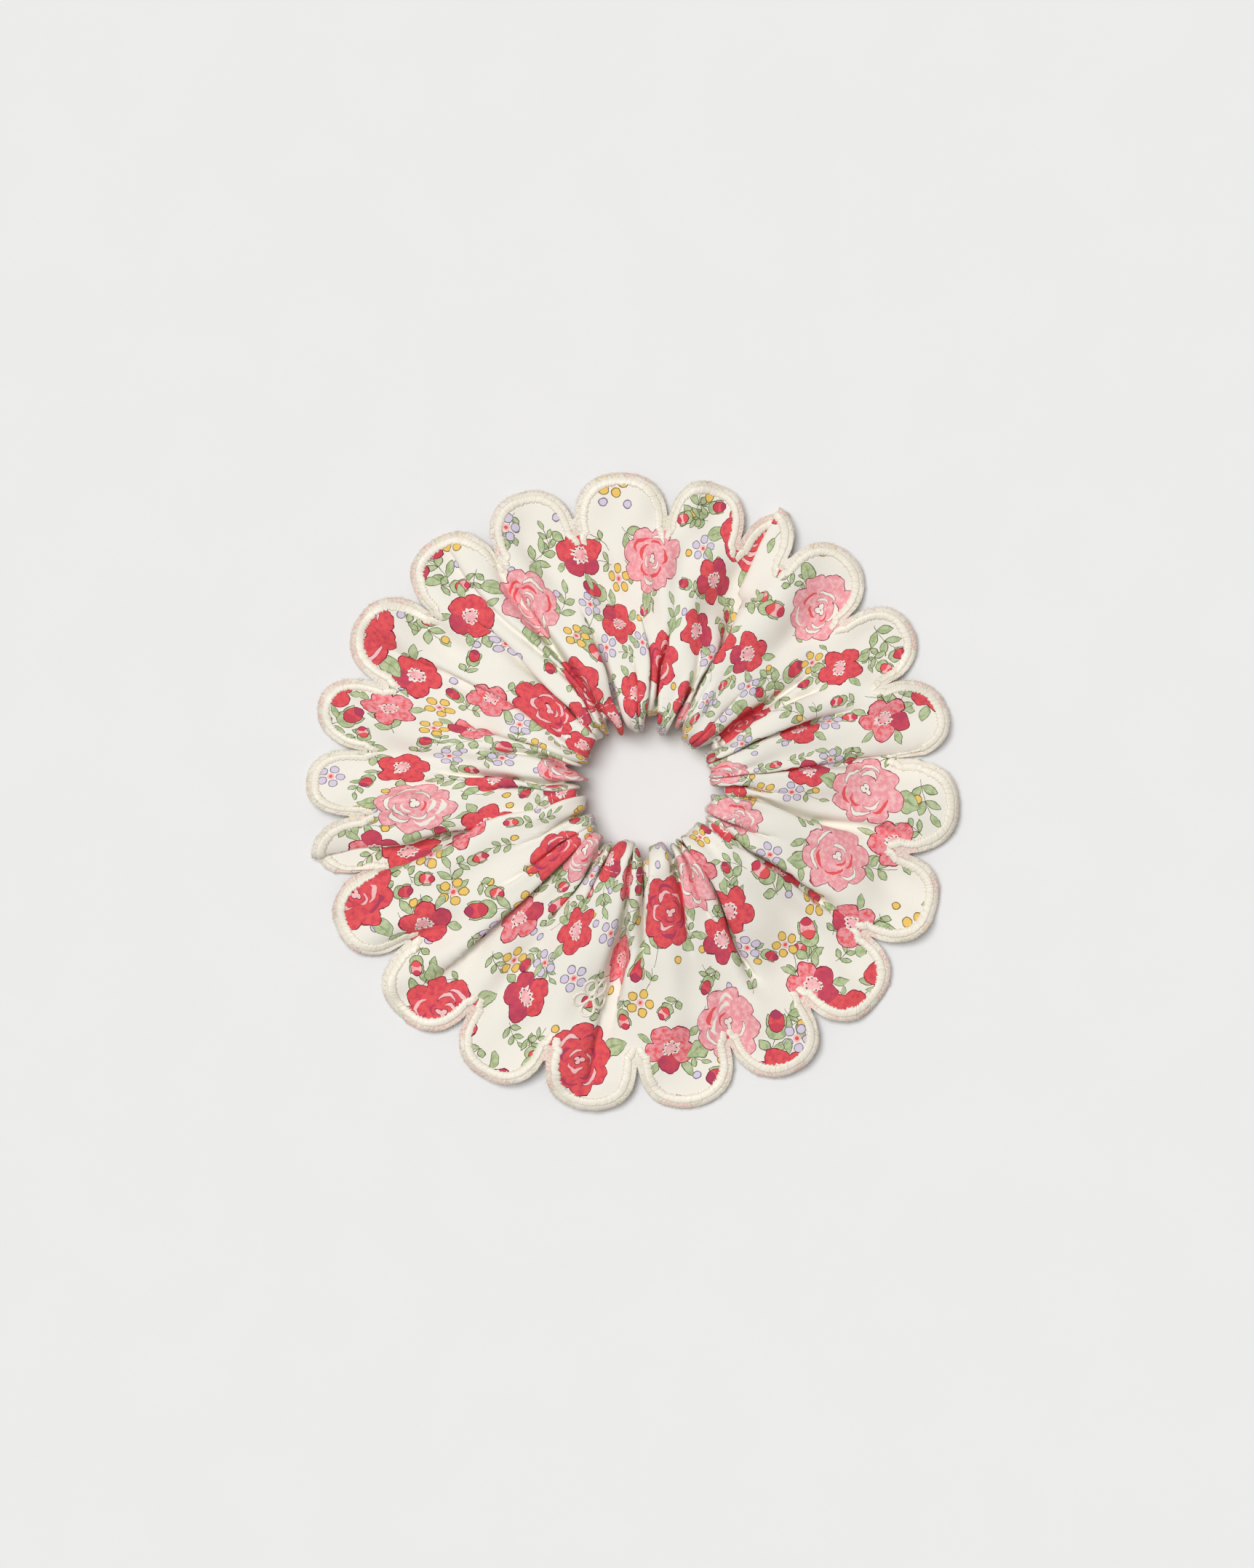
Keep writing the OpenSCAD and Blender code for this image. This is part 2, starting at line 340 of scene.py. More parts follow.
def surface(s, v):
    """Point of the cloth's mid-surface at s along the strip and v across it; v > 0 is the front layer."""
    i = (np.asarray(s) / STRIP * COLUMNS - 0.5) % COLUMNS
    j = (np.asarray(v) + LAYER) / LAYER * (ROWS - 1)
    i0 = np.floor(i).astype(int)
    j0 = np.clip(np.floor(j).astype(int), 0, GRID.shape[1] - 2)
    a, b = (i - i0)[..., None], (j - j0)[..., None]
    i0 %= COLUMNS
    return bilinear(GRID, i0, (i0 + 1) % COLUMNS, j0, a, b)


def surface_frame(s, v, step=0.3):
    """Point and normal, which points out of the front and out of the back."""
    along = surface(s + step, v) - surface(s - step, v)
    across = surface(s, v + step) - surface(s, v - step)
    return surface(s, v), unit(np.cross(across, along))


def lay(s, v, height):
    """Points at a height over the cloth's outer face, and the normal there."""
    p, normal = surface_frame(s, v)
    return p + normal * (height + CLOTH_T / 2)[..., None], normal


def scallop_outline(t):
    """Flat outline of one scallop, for t from -1 at one slit's end, over the tip, to 1 at the other's."""
    phi = t * math.pi / 2
    power = 2 / SCALLOP_ROUND
    x = PITCH / 2 * np.sign(phi) * np.abs(np.sin(phi)) ** power
    y = LAYER - SLIT * (1 - np.abs(np.cos(phi)) ** power)
    return np.column_stack([x, y])


def scallop_edge(s):
    """Distance from the fold to the cut edge, at s along the strip."""
    x = np.abs(wrapped(s - PITCH / 2, PITCH)) / (PITCH / 2)
    return LAYER - SLIT * (1 - (1 - np.minimum(x, 1) ** SCALLOP_ROUND) ** (1 / SCALLOP_ROUND))


# ---- node-based materials


def srgb(red, green, blue):
    """Linear colour from the usual 0 to 255 values."""
    linear = [c / 3294.6 if c <= 10 else ((c / 255 + 0.055) / 1.055) ** 2.4 for c in (red, green, blue)]
    return (*linear, 1.0)


class Term:
    """A socket that can be added, multiplied and compared to make Math nodes."""

    def __init__(self, tree, socket):
        self.tree = tree
        self.socket = socket

    def math(self, operation, *others):
        node = self.tree.nodes.new("ShaderNodeMath")
        node.operation = operation
        for slot, value in zip(node.inputs, (self, *others)):
            put(self.tree, slot, value)
        return Term(self.tree, node.outputs[0])

    __add__ = partialmethod(math, "ADD")
    __sub__ = partialmethod(math, "SUBTRACT")
    __mul__ = partialmethod(math, "MULTIPLY")
    __truediv__ = partialmethod(math, "DIVIDE")
    __pow__ = partialmethod(math, "POWER")
    __abs__ = partialmethod(math, "ABSOLUTE")
    __lt__ = partialmethod(math, "LESS_THAN")
    __gt__ = partialmethod(math, "GREATER_THAN")
    either = partialmethod(math, "MAXIMUM")

    def flip(self):
        """1 less the value."""
        return self * -1.0 + 1.0


def put(tree, slot, value):
    if isinstance(value, Term):
        tree.links.new(value.socket, slot)
    else:
        slot.default_value = value


class Shader:
    """A material's node tree, with short names for the nodes that the prints and threads use."""

    def __init__(self, name, roughness, **settings):
        self.material = bpy.data.materials.new(name)
        self.material.use_nodes = True
        self.tree = self.material.node_tree
        self.surface = self.tree.nodes["Principled BSDF"]
        self.surface.inputs["Roughness"].default_value = roughness
        for key, value in settings.items():
            self.surface.inputs[key.replace("_", " ")].default_value = value

    def node(self, kind, outputs=1, inputs=(), **settings):
        node = self.tree.nodes.new(kind)
        for key, value in settings.items():
            setattr(node, key, value)
        for key, value in dict(inputs).items():
            put(self.tree, node.inputs[key], value)
        found = [Term(self.tree, s) for s in node.outputs[:outputs]]
        return found[0] if outputs == 1 else found

    def cloth_place(self):
        """Millimetres along and across the flat strip."""
        return self.node("ShaderNodeUVMap", uv_map="cloth")

    def vector(self, operation, a, b=None, scale=None):
        given = {0: a, 1: b, "Scale": scale}
        inputs = {slot: value for slot, value in given.items() if value is not None}
        found = self.node("ShaderNodeVectorMath", outputs=2, inputs=inputs, operation=operation)
        return found[1 if operation == "LENGTH" else 0]

    def split(self, vector):
        return self.node("ShaderNodeSeparateXYZ", outputs=3, inputs={"Vector": vector})

    def noise(self, place, per_mm, detail=2.0, rough=0.5, output=0):
        """Output 0 is a grey noise, and output 1 a coloured one."""
        settings = {"Vector": place, "Scale": per_mm, "Detail": detail, "Roughness": rough}
        return self.node("ShaderNodeTexNoise", outputs=2, noise_dimensions="2D", inputs=settings)[output]

    def chance(self, seed):
        return self.node("ShaderNodeTexWhiteNoise", noise_dimensions="1D", inputs={"W": seed})

    def mix(self, share, a, b):
        """Colour a where the share is 0, and colour b where it is 1."""
        return self.node("ShaderNodeMix", outputs=3, data_type="RGBA", inputs={0: share, 6: a, 7: b})[2]

    def ramp(self, value, low, high, to_low=0.0, to_high=1.0):
        """The value stretched so that low and high become to_low and to_high, and kept between them."""
        limits = {"From Min": low, "From Max": high, "To Min": to_low, "To Max": to_high}
        return self.node("ShaderNodeMapRange", inputs={"Value": value, **limits})

    def finish(self, colour, height=None, strength=0.0, depth=0.0):
        """Gives the surface its colour and its bumps, which are depth metres deep."""
        put(self.tree, self.surface.inputs["Base Color"], colour)
        if height is not None:
            settings = {"Strength": strength, "Distance": depth, "Height": height}
            put(self.tree, self.surface.inputs["Normal"], self.node("ShaderNodeBump", inputs=settings))
        return self.material

    def scatter(self, place, size, seed, randomness):
        """Motifs strewn about one to a cell: place within the motif, two random numbers, and its middle."""
        shift = (seed * 137.0, seed * 71.0, 0.0)
        cell = self.vector("SCALE", self.vector("ADD", place, shift), scale=1 / size)
        _, colour, middle = self.node(
            "ShaderNodeTexVoronoi", outputs=3, voronoi_dimensions="2D", feature="F1",
            inputs={"Vector": cell, "Scale": 1.0, "Randomness": randomness})
        centre = self.vector("SUBTRACT", self.vector("SCALE", middle, scale=size), shift)
        one, two, _ = self.split(colour)
        return self.vector("SUBTRACT", place, centre), one, two, centre

    def clear_of(self, centre, strewn, radius):
        """1 where a motif's middle keeps its distance from those of a layer above."""
        offset, _, _, _ = self.scatter(centre, *strewn)
        return self.vector("LENGTH", offset) > radius

    def polar(self, place, turn):
        """Distance and angle, in turns from 0 to 1, round a motif that is turned by a random amount."""
        x, y, _ = self.split(place)
        angle = x.math("ARCTAN2", y) / (2 * math.pi) + turn
        return self.vector("LENGTH", place), angle.math("FRACT")

    def turned(self, place, turn):
        """The same place in axes that are turned by a random amount."""
        spun = self.node("ShaderNodeVectorRotate", rotation_type="Z_AXIS",
                         inputs={"Vector": place, "Angle": turn * (2 * math.pi)})
        x, y, _ = self.split(spun)
        return x, y

    def oval(self, x, y, at, long, wide):
        """Below 1 inside an oval on the x axis."""
        return (((x - at) / long) ** 2.0 + (y / wide) ** 2.0).math("SQRT")

    def leaf_pair(self, x, y, at, slope, long, wide):
        """Below 1 inside two pointed leaves that spring from the x axis, one on each side."""
        cosine, sine = math.cos(math.radians(slope)), math.sin(math.radians(slope))
        side = abs(y)
        out = ((x - at) * cosine + side * sine) / long - 1.1
        return out * out + abs(side * cosine - (x - at) * sine) / wide

    def sector(self, r, angle, count):
        """Place along and across the middle of one of so many equal sectors, and which sector it is."""
        turn = angle * float(count)
        delta = (turn.math("FRACT") - 0.5) * (2 * math.pi / count)
        return r * delta.math("COSINE"), r * delta.math("SINE"), turn.math("FLOOR")

    def blades(self, r, angle, count, at, long, wide):
        """Leaves in a ring, pointed at both ends: below 1 inside one. Also gives which leaf it is."""
        x, y, which = self.sector(r, angle, count)
        out = (x - at) / long
        return out * out + abs(y) / wide, which

    def petals(self, r, angle, count, at, long, wide):
        """Ovals in a ring: below 1 inside one. Also gives which petal it is."""
        x, y, which = self.sector(r, angle, count)
        return self.oval(x, y, at, long, wide), which


GROUND = srgb(243, 238, 227)
RED, CRIMSON, PLUM = srgb(234, 93, 94), srgb(210, 74, 92), srgb(182, 68, 98)
PINK, PALE_PINK = srgb(242, 158, 166), srgb(248, 196, 196)
LILAC, LILAC_LINE = srgb(218, 208, 226), srgb(132, 118, 142)
YELLOW, YELLOW_LINE = srgb(242, 202, 108), srgb(140, 112, 66)
GREEN, DEEP_GREEN, GREEN_LINE = srgb(194, 205, 164), srgb(160, 180, 128), srgb(98, 104, 68)
RAW_COTTON = srgb(238, 230, 216)
RED_LINE, ROSE_LINE, DOT_LINE = srgb(128, 34, 56), srgb(150, 72, 84), srgb(84, 40, 56)

PRINT_SHIFT = (-4.0, 4.0, 0.0)  # slides the print over the strip
# How each kind of motif is strewn: size of a cell in millimetres, seed, and how far from even
ROSES = (42.0, 7, 0.7)
BLOOMS = (21.5, 5, 0.5)
DITSIES = (13.4, 9, 0.6)
BERRIES = (9.5, 44, 0.9)
ROSE_R, BLOOM_R, DITSY_R = 9.6, 6.6, 3.9
# Small and large ones: size of a cell, seed, enlargement, and for buds the room they leave round flowers
SPRIGS = ((16.5, 21, 1.0), (24.0, 33, 1.5))
BUDS = ((13.0, 14, 0.95, 1.6), (24.0, 17, 1.45, 2.6))


def outlined(g, colour, inside, thick, line, fill, shown=1.0):
    """A filled shape with a thin line round it: inside is below 1 within the shape."""
    colour = g.mix((inside < 1.0 + thick) * shown, colour, line)
    return g.mix((inside < 1.0 - thick) * shown, colour, fill)


def leaves(g, colour, r, angle, count, at, long, wide, keep, green):
    """A ring of outlined leaves, some of them left out."""
    inside, which = g.blades(r, angle, count, at, long, wide)
    shown = g.chance(which + keep * 31.0) < 0.55
    colour = outlined(g, colour, inside, 0.09 / wide, GREEN_LINE, green, shown)
    vein, _ = g.blades(r, angle, count, at, long * 0.75, wide * 0.12)
    return g.mix((vein < 1.0) * shown * (wide > 1.5), colour, g.mix(0.4, green, GREEN_LINE))


# The motifs' own shapes are in millimetres, before they are enlarged


def sprigs(g, colour, place, green):
    """Curved stems with pairs of small leaves, under all the flowers."""
    for size, seed, grown in SPRIGS:
        local, one, two, _ = g.scatter(place, size, seed, 0.85)
        x, y = g.turned(g.vector("SCALE", local, scale=1 / grown), one)
        y = y + x * x * 0.06 - 0.3
        stem = (abs(y) < 0.08 / grown) * (abs(x) < 3.4)
        colour = g.mix(stem, colour, GREEN_LINE)
        lower = g.leaf_pair(x, y, -2.4, 52, 1.5, 0.72)
        upper = g.leaf_pair(x, y, 0.0, 44, 1.35, 0.64)
        tip = g.leaf_pair(x, y, 2.2, 0, 1.3, 0.62)
        for inside, shown in ((lower, two > 0.2), (upper, two < 0.8), (tip, two > 0.3)):
            colour = outlined(g, colour, inside, 0.15 / grown, GREEN_LINE, green, shown)
    return colour


def berries(g, colour, place):
    """Single dots of lilac and yellow."""
    local, _, two, _ = g.scatter(place, *BERRIES)
    r = g.vector("LENGTH", local)
    yellow = two < 0.22
    line = g.mix(yellow, LILAC_LINE, YELLOW_LINE)
    return outlined(g, colour, r, 0.13, line, g.mix(yellow, LILAC, YELLOW), two < 0.45)


def buds(g, colour, place, green, mottle, size, seed, grown, spare):
    """Red and pink buds: each sits in a green cup, on a short stem with two leaves."""
    local, one, two, centre = g.scatter(place, size, seed, 0.75)
    shown = g.clear_of(centre, ROSES, ROSE_R + spare)
    shown = shown * g.clear_of(centre, BLOOMS, BLOOM_R + spare)
    shown = shown * g.clear_of(centre, DITSIES, DITSY_R + spare - 1.2)
    x, y = g.turned(g.vector("SCALE", local, scale=1 / grown), one)
    line = 0.1 / grown
    stem_y = y + x * x * 0.05
    stem = (abs(stem_y) < line * 0.9) * (x < -1.5) * (x > -5.0)
    colour = g.mix(stem * shown, colour, GREEN_LINE)
    stem_leaves = g.leaf_pair(x, stem_y, -4.6, 58, 1.5, 0.8)
    cup_leaves = g.leaf_pair(x, y, -1.6, 24, 1.9, 0.95)
    cup = g.oval(x, y, -0.95, 1.6, 1.8)
    for inside, thick in ((stem_leaves, line * 1.4), (cup_leaves, line * 1.2), (cup, line / 1.7)):
        colour = outlined(g, colour, inside, thick, GREEN_LINE, green, shown)
    inside = g.oval(x, y, 0.75, 1.95, 1.45)
    pink = two > 0.6
    fill = g.mix(pink, g.mix(mottle, RED, CRIMSON), g.mix(mottle, PALE_PINK, PINK))
    fill = g.mix(g.oval(x, y, 2.4, 1.3, 1.3) < 1.0, fill, g.mix(pink, PLUM, CRIMSON))
    fill = g.mix(g.oval(x, y, -0.7, 1.2, 1.7) < 1.0, fill, g.mix(pink, CRIMSON, RED))
    return outlined(g, colour, inside, line / 1.7, RED_LINE, fill, shown)


def ditsies(g, colour, place):
    """Little lilac or yellow flowers of five separate petals."""
    local, one, two, centre = g.scatter(place, *DITSIES)
    shown = g.clear_of(centre, ROSES, ROSE_R + 3.0)
    shown = shown * g.clear_of(centre, BLOOMS, BLOOM_R + 2.6)
    r, angle = g.polar(local, one)
    inside, _ = g.petals(r, angle, 5, 2.55, 1.2, 1.12)
    yellow = two > 0.55
    line = g.mix(yellow, LILAC_LINE, YELLOW_LINE)
    colour = outlined(g, colour, inside, 0.1, line, g.mix(yellow, LILAC, YELLOW), shown)
    colour = g.mix((r < 1.0) * shown, colour, PALE_PINK)
    return g.mix((r < 0.5) * shown, colour, RED)


def blooms(g, colour, place, green, mottle, blotch):
    """Red five-petal flowers with a pale, jagged middle, and leaves behind them."""
    local, one, two, centre = g.scatter(place, *BLOOMS)
    shown = g.clear_of(centre, ROSES, ROSE_R + 4.4)
    r, angle = g.polar(local, one)
    with_leaves = leaves(g, colour, r, (angle + 0.09).math("FRACT"), 5, 7.1, 2.2, 1.1, two, green)
    inside, which = g.petals(r, angle, 5, 3.55, 3.0, 2.75)
    inside = inside - blotch * 0.12
    luck = g.chance(which + two * 57.0)
    fill = g.mix(mottle, RED, CRIMSON)
    fill = g.mix((luck < 0.2) * (blotch * 0.5 + 0.6), fill, PLUM)
    fill = g.mix((two > 0.74) * (luck > 0.2), fill, g.mix(mottle, PINK, RED))
    flower = outlined(g, with_leaves, inside, 0.04, RED_LINE, fill)
    jag = ((angle * 11.0).math("PINGPONG", 0.5) + 1.6) * (blotch * 0.5 + 1.0)
    flower = g.mix(r < jag + 0.28, flower, GROUND)
    flower = g.mix(r < jag - 0.18, flower, g.mix(mottle, PALE_PINK, PINK))
    spot, _ = g.petals(r, (angle + 0.03).math("FRACT"), 9, 1.7, 0.22, 0.2)
    flower = g.mix(spot < 1.0, flower, DOT_LINE)
    return g.mix(shown, colour, flower)


# From the outermost in: how many, how far out, how long and wide, and how they are turned
CRESCENTS = ((6, 5.3, 1.9, 2.6, 0.1), (5, 3.5, 1.9, 2.2, 0.37), (3, 1.9, 1.5, 1.6, 0.2))


def roses(g, colour, place, green, mottle, blotch):
    """Big open roses, pink or red: wavy outside, with crescents curled round the heart."""
    local, one, two, _ = g.scatter(place, *ROSES)
    r, angle = g.polar(local, one)
    colour = leaves(g, colour, r, (angle + 0.05).math("FRACT"), 4, 10.8, 3.6, 2.1, two, green)
    red = two > 0.5
    petal = g.mix(red, g.mix(mottle, PINK, PALE_PINK), g.mix(mottle, RED, CRIMSON))
    deep = g.mix(red, RED, PLUM)
    line = g.mix(red, ROSE_LINE, RED_LINE)
    pale = g.mix(red, GROUND, PALE_PINK)
    r = r + blotch * 0.5
    inside, _ = g.petals(r, angle, 8, 6.7, 2.9, 3.05)
    colour = g.mix((inside < 1.04).either(r < 6.4), colour, line)
    colour = g.mix((inside < 0.97).either(r < 5.4), colour, petal)
    for count, at, long, wide, turn in CRESCENTS:
        ring_angle = (angle + turn).math("FRACT")
        whole, which = g.petals(r, ring_angle, count, at, long, wide)
        cut, _ = g.petals(r, ring_angle, count, at - long * 0.5, long, wide * 1.1)
        luck = g.chance(which + two * 91.0 + turn)
        crescent = (whole < 1.0) * (cut > 1.0)
        fill = g.mix(luck < 0.4, g.mix(luck > 0.7, petal, deep), pale)
        colour = g.mix((whole < 1.06) * (cut > 0.94) * (luck < 0.3), colour, line)
        colour = g.mix(crescent, colour, fill)
    heart, _ = g.petals(r, (angle + 0.2).math("FRACT"), 3, 0.75, 0.8, 0.75)
    return outlined(g, colour, heart, 0.13, line, pale)


def printed_cotton():
    """Plain cotton with the floral print, bleached where its cut edge has frayed."""
    g = Shader("printed_cotton", 0.85, Sheen_Weight=0.03, Sheen_Roughness=0.5, Specular_IOR_Level=0.15)
    flat = g.cloth_place()
    wobble = g.noise(flat, 0.22, 0.0, output=1)
    shake = g.noise(flat, 0.8, 1.0, output=1)
    wobble = g.vector("SUBTRACT", wobble, (0.5, 0.5, 0.5))
    shake = g.vector("SUBTRACT", shake, (0.5, 0.5, 0.5))
    printed = g.vector("ADD", flat, PRINT_SHIFT)
    neat = g.vector("ADD", printed, g.vector("SCALE", shake, scale=0.4))
    place = g.vector("ADD", neat, g.vector("SCALE", wobble, scale=1.6))
    wash = g.noise(flat, 0.7, 4.0, 0.6)
    mottle = g.ramp(wash, 0.42, 0.66)
    green = g.mix(mottle, GREEN, DEEP_GREEN)
    spread = g.noise(flat, 0.33, 1.0)
    blotch = (spread - 0.5) * 2.0
    colour = sprigs(g, GROUND, neat, green)
    colour = berries(g, colour, neat)
    for layer in BUDS:
        colour = buds(g, colour, neat, green, mottle, *layer)
    colour = ditsies(g, colour, neat)
    colour = blooms(g, colour, place, green, mottle, blotch)
    colour = roses(g, colour, place, green, mottle, blotch)
    colour = bleached_edge(g, colour, flat)
    return g.finish(colour, weave_height(g, flat), 0.35, 0.00006)


def bleached_edge(g, colour, flat):
    """Outside the satin stitches the cut threads have frayed, and hide most of the print."""
    x, y, _ = g.split(flat)
    across = ((x + SEAM_AT) / PITCH).math("FRACT") * 2.0 - 1.0
    up = ((abs(y) - (LAYER - SLIT)) / SLIT).either(0.0)
    rounded = (abs(across) ** SCALLOP_ROUND + up ** SCALLOP_ROUND) ** (1 / SCALLOP_ROUND)
    mean_radius = (PITCH / 2 + SLIT) / 2
    raw = g.ramp(rounded, 1 - (RAW_EDGE + 0.6) / mean_radius, 1 - (RAW_EDGE - 0.1) / mean_radius)
    raw = raw * (abs(y) > LAYER - SLIT)
    tufts = g.noise(flat, 1.8, 3.0, 0.7)
    return g.mix(raw * g.ramp(tufts, 0.3, 0.62, 0.5), colour, RAW_COTTON)


def weave_height(g, flat, thread=0.3):
    """Height of a plain weave: warp and weft cross over and under."""
    x, y, _ = g.split(flat)
    turn = 2 * math.pi / (2 * thread)
    over = (x * turn).math("SINE") * (y * turn).math("SINE")
    slub = g.noise(flat, 3.0, 3.0)
    return over * 0.5 + slub


def satin_stitches():
    """Glossy thread laid side by side: painted shade in the grooves between the stitches, with fine strands
    along each one.
    """
    g = Shader("satin_thread", 0.36, Sheen_Weight=0.2, Sheen_Roughness=0.35, Specular_IOR_Level=0.8)
    place = g.cloth_place()
    along, _, _ = g.split(place)
    between = (along * (2 * math.pi)).math("COSINE") * 0.5 + 0.5
    strands = g.vector("MULTIPLY", place, (9.0, 0.9, 1.0))
    fine = g.noise(strands, 1.0, 2.0)
    broad = g.noise(place, 0.2, 2.0)
    shade = g.mix(broad, srgb(255, 251, 238), srgb(254, 246, 230))
    clumps = g.noise(g.vector("MULTIPLY", place, (0.55, 0.12, 1.0)), 1.0, 2.0)
    parted = g.ramp(clumps, 0.5, 0.68, 0.0, 0.55)
    shade = g.mix(parted, shade, srgb(232, 221, 200))
    # Painted shade: darker in the grooves between the stitches
    shade = g.mix(between ** 3.0 * 0.4, shade, srgb(230, 218, 194))
    shade = g.mix(fine * 0.15, shade, srgb(240, 230, 210))
    return g.finish(shade, between.flip() + fine * 0.6, 0.55, 0.00008)


def sewing_cotton():
    """Plain thread: small differences of shade, and its twist."""
    g = Shader("sewing_thread", 0.6, Sheen_Weight=0.2, Specular_IOR_Level=0.4)
    place = g.cloth_place()
    patch = g.noise(place, 1.6, 3.0, 0.6)
    x, y, _ = g.split(place)
    twist = ((x + y) * (2 * math.pi / 0.5)).math("SINE")
    return g.finish(g.mix(patch, srgb(246, 243, 232), srgb(236, 230, 216)), twist, 0.5, 0.00006)


def frayed_cotton():
    """Fibres of the cut edge: mostly white, tinted here and there by the print they were cut from."""
    g = Shader("frayed_cotton", 0.9, Sheen_Weight=0.3, Specular_IOR_Level=0.2)
    flat = g.cloth_place()
    patch = g.noise(flat, 0.16, 1.0)
    tint = g.mix(patch > 0.5, GREEN, PINK)
    tint = g.mix(patch > 0.6, tint, LILAC)
    strength = g.noise(flat, 0.3, 2.0)
    return g.finish(g.mix(g.ramp(strength, 0.48, 0.68, 0.0, 0.55), srgb(236, 226, 211), tint))


def braided_elastic():
    """White elastic: ribs along it, crossed by the plait of its cover, with painted shade in their hollows.
    """
    g = Shader("braided_elastic", 0.7, Sheen_Weight=0.2)
    x, y, _ = g.split(g.cloth_place())
    rib = (y * (2 * math.pi / 0.9)).math("SINE") * 0.5 + 0.5
    plait = ((x + y) * (2 * math.pi / 1.1)).math("SINE") * 0.5 + 0.5
    # Painted shade: greyer where the ribs and plait are low
    shade = g.mix(rib * 0.5 + plait * 0.3, srgb(206, 206, 200), srgb(240, 240, 236))
    return g.finish(shade, rib + plait, 0.7, 0.0002)


def plain_floor():
    """Matt pale paper, with the faintest mottling."""
    g = Shader("pale_floor", 0.95, Specular_IOR_Level=0.1)
    place = g.node("ShaderNodeTexCoord", outputs=4)[3]
    patch = g.noise(place, 40.0, 3.0)
    return g.finish(g.mix(patch, srgb(238, 238, 238), srgb(240, 240, 240)))


# ---- making pieces


def new_object(name, data):
    obj = bpy.data.objects.new(name, data)
    scene.collection.objects.link(obj)
    return obj


def mesh_object(name, verts, faces, uv, material, on_cloth=True):
    """A smooth mesh from points in millimetres, with the place of each vertex on the strip as its UV."""
    mesh = bpy.data.meshes.new(name)
    mesh.from_pydata(verts * MM, [], faces)
    corners = np.asarray(uv, float)[np.asarray(faces)]
    if on_cloth:
        # The print starts and ends at the side seam
        corners[..., 0] = (corners[..., 0] - SEAM_AT) % STRIP
        across_seam = np.ptp(corners[..., 0], axis=1) > STRIP / 2
        corners[..., 0] += STRIP * (across_seam[:, None] & (corners[..., 0] < STRIP / 2))
    mesh.uv_layers.new(name="cloth").data.foreach_set("uv", corners.astype(np.float32).ravel())
    mesh.shade_smooth()
    mesh.materials.append(material)
    return new_object(name, mesh)


def stretches(obj, slot, *nodes):
    """The piece goes round the ring: its placement is baked into its mesh, and the parts that it takes the
    place of are hidden.
    """
    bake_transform(obj)
    if nodes:
        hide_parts(*nodes)
    return obj


def loop_faces(rings, around):
    """Quads of a tube whose last ring joins its first."""
    a = np.arange(rings)[:, None] * around
    b = np.roll(a, -1)
    k = np.arange(around)[None]
    nxt = (k + 1) % around
    return np.stack([a + k, b + k, b + nxt, a + nxt], -1).reshape(-1, 4)


def tube_faces(rings, around):
    """Quads of a tube with its two ends closed."""
    last = (rings - 1) * around
    half = np.arange(around // 2 - 1)
    cap = np.stack([half, half + 1, around - 2 - half, around - 1 - half], -1)
    return np.concatenate([loop_faces(rings, around)[:last], cap, cap[:, ::-1] + last])


class Parts:
    """Collects tubes into one mesh."""

    def __init__(self):
        self.verts, self.faces, self.uv = [], [], []
        self.count = 0

    def add(self, verts, faces, s, v):
        self.verts.append(verts.reshape(-1, 3))
        self.faces.append(faces + self.count)
        self.uv.append(np.stack([s.ravel(), v.ravel()], -1))
        self.count += verts.size // 3

    def mesh(self, name, material, on_cloth=True):
        parts = (np.vstack(p) for p in (self.verts, self.faces, self.uv))
        return mesh_object(name, *parts, material, on_cloth)


def column_places():
    """Columns of the cloth mesh: closer together where the cloth bends and beside the slits."""
    t = unit(np.gradient(GRID, axis=0))
    bend = np.linalg.norm(np.gradient(t, axis=0), axis=-1).mean(axis=1)
    slit = np.exp(-wrapped(COLUMN_S, PITCH) ** 2)
    density = 0.5 + 1.2 * low_pass(bend, 220) / bend.mean() + 1.5 * slit
    total = np.concatenate([[0], np.cumsum(np.maximum(density, 0.3))])
    edges = np.linspace(0, STRIP, COLUMNS + 1)
    return np.interp(np.linspace(0, 1, CLOTH_COLUMNS, endpoint=False), total / total[-1], edges)


def make_cloth(material):
    """The strip as one closed solid: both faces of the cloth, and its two cut edges."""
    rng = np.random.default_rng(23)
    s = column_places()
    inner = LAYER - SLIT - 2
    # Straight rows, closest together at the hole, and then rows that follow the scallops' edge
    channel = np.linspace(0, 16, 13, endpoint=False)
    fixed = np.concatenate([channel, np.linspace(16, inner, 16, endpoint=False)])
    last = np.linspace(0, 1, 10) ** 0.85
    rims = []
    for _ in ("back", "front"):
        edge = scallop_edge(s) + rng.uniform(-0.14, 0.14, CLOTH_COLUMNS)
        rims.append(inner + (edge[:, None] - inner) * last[None])
    fixed = np.repeat(fixed[None], CLOTH_COLUMNS, 0)
    v = np.column_stack([-rims[0][:, ::-1], -fixed[:, :0:-1], fixed, rims[1]])
    rows = v.shape[1]
    ss = np.repeat(s[:, None], rows, 1)
    p, normal = surface_frame(ss, v)
    outer = p + normal * CLOTH_T / 2
    inside = p - normal * CLOTH_T / 2
    ring = np.concatenate([outer, inside[:, ::-1]], axis=1)
    uv = np.stack([ss, v], -1)
    uv = np.concatenate([uv, uv[:, ::-1]], axis=1)
    faces = loop_faces(CLOTH_COLUMNS, 2 * rows)[:, ::-1]
    return mesh_object("ruffle", ring.reshape(-1, 3), faces, uv.reshape(-1, 2), material)


